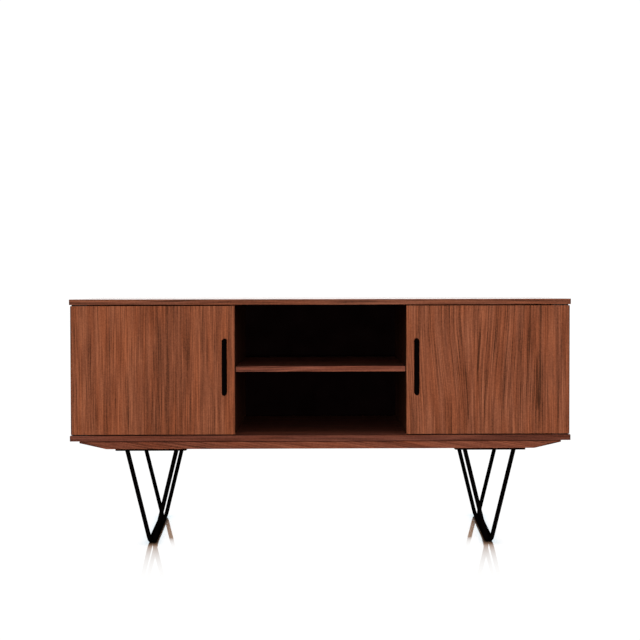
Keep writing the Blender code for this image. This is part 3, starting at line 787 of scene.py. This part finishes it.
def shine_fade(s):
    """How far the floor has gone over from shine to plain white: 0 by the legs, 1 far off."""
    xyz = s.split(s.place)
    width = s.math("ABSOLUTE", xyz["X"])
    # In front of the legs the shine fades away, slowly in a lane before each front foot and fast beside it.
    lane = s.math("ADD", width, s.scale(xyz["Y"], -0.25))
    beside = s.math("MAXIMUM", s.steps(lane, 0.46, 0.49, 1.0, 0.0), s.steps(lane, 0.55, 0.62))
    ahead = s.math("ADD", s.scale(xyz["Y"], -1.0, -0.165), s.scale(beside, 0.070))
    pace = s.scale(beside, -20.0, -10.5)
    kept = s.fall(s.math("MULTIPLY", s.math("MAXIMUM", ahead, 0.0), pace))
    # To the sides and behind it fades with distance.
    reach = s.math("MAXIMUM", s.scale(width, 1.0, -0.45), xyz["Y"])
    return s.math("MAXIMUM", s.scale(kept, -1.0, 1.0), s.steps(reach, 0.24, 0.56))


def floor_material():
    """A white glossy sheet, with a warm glow near the legs: painted reflection colour, which tints their
    reflections brown, and which dims to a painted contact shadow where something touches it.
    """
    s = Shader("studio_floor")
    haze = s.noise(s.place, 3.0, 2.0, 0.5)
    lobes = []
    for roughness in (s.scale(haze, 0.03, 0.03), s.scale(haze, 0.1, 0.30)):
        inputs = {"Color": opaque(FLOOR_GLOSS), "Roughness": roughness}
        lobes.append(s.add("ShaderNodeBsdfGlossy", inputs=inputs).outputs[0])
    gloss = s.add("ShaderNodeMixShader", inputs={"Fac": 0.10, 1: lobes[0], 2: lobes[1]}).outputs[0]
    # Ambient occlusion dims the glow by the feet and runners: painted contact shadow.
    painted_contact_shadow = s.add("ShaderNodeAmbientOcclusion", {"samples": 8}, {"Distance": 0.035}).outputs["AO"]
    inputs = {"Color": opaque(FLOOR_PAINTED_GLOW), "Strength": s.math("POWER", painted_contact_shadow, 3.0)}
    glow = s.add("ShaderNodeEmission", inputs=inputs).outputs[0]
    shine = s.add("ShaderNodeAddShader", inputs={0: glow, 1: gloss}).outputs[0]
    inputs = {"Color": (1, 1, 1, 1), "Strength": WHITE_STRENGTH}
    plain = s.add("ShaderNodeEmission", inputs=inputs).outputs[0]
    both = s.add("ShaderNodeMixShader", inputs={"Fac": shine_fade(s), 1: shine, 2: plain}).outputs[0]
    s.tree.links.new(both, s.tree.nodes["Material Output"].inputs["Surface"])
    s.tree.nodes.remove(s.surface)
    return s.material


def make_floor():
    """A white glossy sweep. It reflects the white studio, so what stands on it shows as a soft reflection."""
    builder = bmesh.new()
    bmesh.ops.create_grid(builder, x_segments=8, y_segments=8, size=FLOOR_HALF_LENGTH)
    mesh = bpy.data.meshes.new("studio_floor")
    builder.to_mesh(mesh)
    builder.free()
    mesh.materials.append(floor_material())
    floor = bpy.data.objects.new("studio_floor", mesh)
    floor.location.z = -FLOOR_GAP
    bpy.context.scene.collection.objects.link(floor)
    floor.visible_diffuse = False
    floor.visible_glossy = False


def area_light(name, location, target, size, energy, mirrored=True):
    """A white panel of light. Where it isn't mirrored, no glossy surface shows it."""
    data = bpy.data.lights.new(name, "AREA")
    data.shape = "RECTANGLE"
    data.size, data.size_y = size
    data.energy = energy
    light = bpy.data.objects.new(name, data)
    light.location = location
    aim = Vector(target) - Vector(location)
    light.rotation_euler = aim.to_track_quat("-Z", "Y").to_euler()
    light.visible_glossy = mirrored
    bpy.context.scene.collection.objects.link(light)


def make_lights():
    """The front light stands low and in the middle, so the open bay stays dark."""
    area_light("front", (0.0, -9.0, 0.36), (0, 0, 0.48), (0.4, 0.3), 776, mirrored=False)
    area_light("above_front", (0.0, -1.5, 2.4), (0, -0.2, 0.4), (0.9, 1.2), 2, mirrored=False)
    area_light("above_edge", (0.0, -0.5, 2.6), (0, -0.2, 0.4), (1.6, 0.3), 12, mirrored=False)
    area_light("above_back", (0.0, 1.8, 2.8), (0, 0, 0.5), (2.4, 1.2), 100)
    for side, sign in SIDES.items():
        area_light(f"side_{side}", (sign * 3.2, 0.9, 1.2), (0, 0.1, 0.4), (1.2, 1.2), 70)
    area_light("behind", (0.0, 3.6, 1.0), (0, 0, 0.4), (2.0, 1.2), 60, mirrored=False)


def make_world():
    """White where the camera or a glossy floor looks past the object, and dim where it lights the object."""
    world = bpy.data.worlds.new("studio")
    world.use_nodes = True
    bpy.context.scene.world = world
    nodes, links = world.node_tree.nodes, world.node_tree.links

    def background(strength):
        node = nodes.new("ShaderNodeBackground")
        node.inputs["Color"].default_value = (1, 1, 1, 1)
        node.inputs["Strength"].default_value = strength
        return node

    def blend(factor, first, second):
        node = nodes.new("ShaderNodeMixShader")
        links.new(factor, node.inputs["Fac"])
        links.new(first.outputs[0], node.inputs[1])
        links.new(second.outputs[0], node.inputs[2])
        return node

    white, dim = background(WHITE_STRENGTH), background(DIM_STRENGTH)
    direction = nodes.new("ShaderNodeTexCoord").outputs["Generated"]
    split = nodes.new("ShaderNodeSeparateXYZ")
    links.new(direction, split.inputs[0])
    upper = nodes.new("ShaderNodeMapRange")
    upper.inputs["From Min"].default_value = -0.03
    upper.inputs["From Max"].default_value = 0.0
    links.new(split.outputs["Z"], upper.inputs["Value"])
    path = nodes.new("ShaderNodeLightPath")
    mirrored = blend(upper.outputs[0], dim, white)
    lit = blend(path.outputs["Is Glossy Ray"], dim, mirrored)
    seen = blend(path.outputs["Is Camera Ray"], lit, white)
    nodes.remove(nodes["Background"])
    links.new(seen.outputs[0], nodes["World Output"].inputs["Surface"])


def make_camera():
    """A low tripod in front of the middle, turned a little down and to the right."""
    data = bpy.data.cameras.new("camera")
    data.sensor_width = SENSOR_WIDTH
    data.lens = LENS
    data.shift_x, data.shift_y = LENS_SHIFT
    aim = Matrix.Identity(4)
    for degrees, axis in CAMERA_TURNS:
        aim = aim @ Matrix.Rotation(math.radians(degrees), 4, axis)
    camera = bpy.data.objects.new("camera", data)
    camera.matrix_world = Matrix.Translation(CAMERA_PLACE) @ aim
    bpy.context.scene.collection.objects.link(camera)
    bpy.context.scene.camera = camera


def main():
    make_camera()
    finishes = {
        "black_coated_steel": powder_coat(),
        "zinc_plated_steel": zinc(),
        "brown_plastic": moulded_plastic(),
        "hinge_leaf": painted_shade_zinc(),
    }
    dress_doors()
    dress_boards()
    dress_hardware(finishes)
    make_small_pieces(finishes)
    make_floor()
    make_lights()
    make_world()
    bpy.context.scene.view_settings.view_transform = "Standard"


main()
